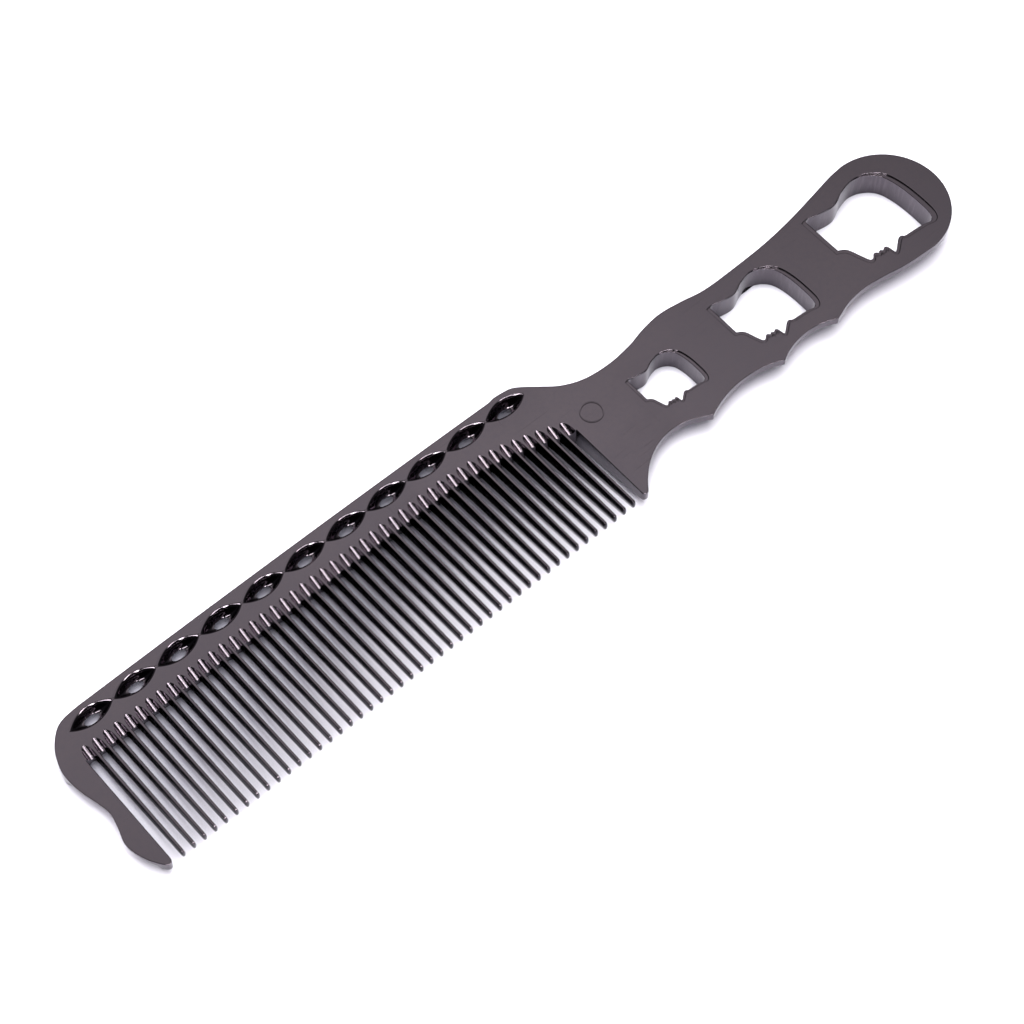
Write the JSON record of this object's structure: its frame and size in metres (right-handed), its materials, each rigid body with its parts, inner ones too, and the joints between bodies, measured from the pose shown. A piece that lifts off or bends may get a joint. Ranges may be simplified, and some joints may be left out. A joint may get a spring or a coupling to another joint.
{
  "type": "barber's clipper comb",
  "caption": "Long flat barber's comb with fine teeth, leaf-shaped recesses along its back bar and a scalloped handle with three head-shaped openings.",
  "frame": {"origin": "middle of the comb's bounding box at the level of its flat back face", "axes": "+X from the toe guard towards the handle's round end; +Y from the tooth tips towards the back edge; +Z out of the front face"},
  "size_m": [0.235, 0.0395, 0.0069],
  "materials": {
    "body": "gunmetal plating over moulded plastic, mirror-smooth",
    "teeth": "gunmetal plating over moulded plastic, mirror-smooth"
  },
  "bodies": {
    "root": {"spine_bar": "body", "toe_guard": "body", "heel": "body", "neck": "body", "grip_small": "body", "grip_medium": "body", "grip_large": "body", "tooth_01": "teeth", "tooth_02": "teeth", "tooth_03": "teeth", "tooth_04": "teeth", "tooth_05": "teeth", "tooth_06": "teeth", "tooth_07": "teeth", "tooth_08": "teeth", "tooth_09": "teeth", "tooth_10": "teeth", "tooth_11": "teeth", "tooth_12": "teeth", "tooth_13": "teeth", "tooth_14": "teeth", "tooth_15": "teeth", "tooth_16": "teeth", "tooth_17": "teeth", "tooth_18": "teeth", "tooth_19": "teeth", "tooth_20": "teeth", "tooth_21": "teeth", "tooth_22": "teeth", "tooth_23": "teeth", "tooth_24": "teeth", "tooth_25": "teeth", "tooth_26": "teeth", "tooth_27": "teeth", "tooth_28": "teeth", "tooth_29": "teeth", "tooth_30": "teeth", "tooth_31": "teeth", "tooth_32": "teeth", "tooth_33": "teeth", "tooth_34": "teeth", "tooth_35": "teeth", "tooth_36": "teeth", "tooth_37": "teeth", "tooth_38": "teeth", "tooth_39": "teeth", "tooth_40": "teeth", "tooth_41": "teeth", "tooth_42": "teeth", "tooth_43": "teeth", "tooth_44": "teeth", "tooth_45": "teeth", "tooth_46": "teeth"}
  },
  "joints": []
}
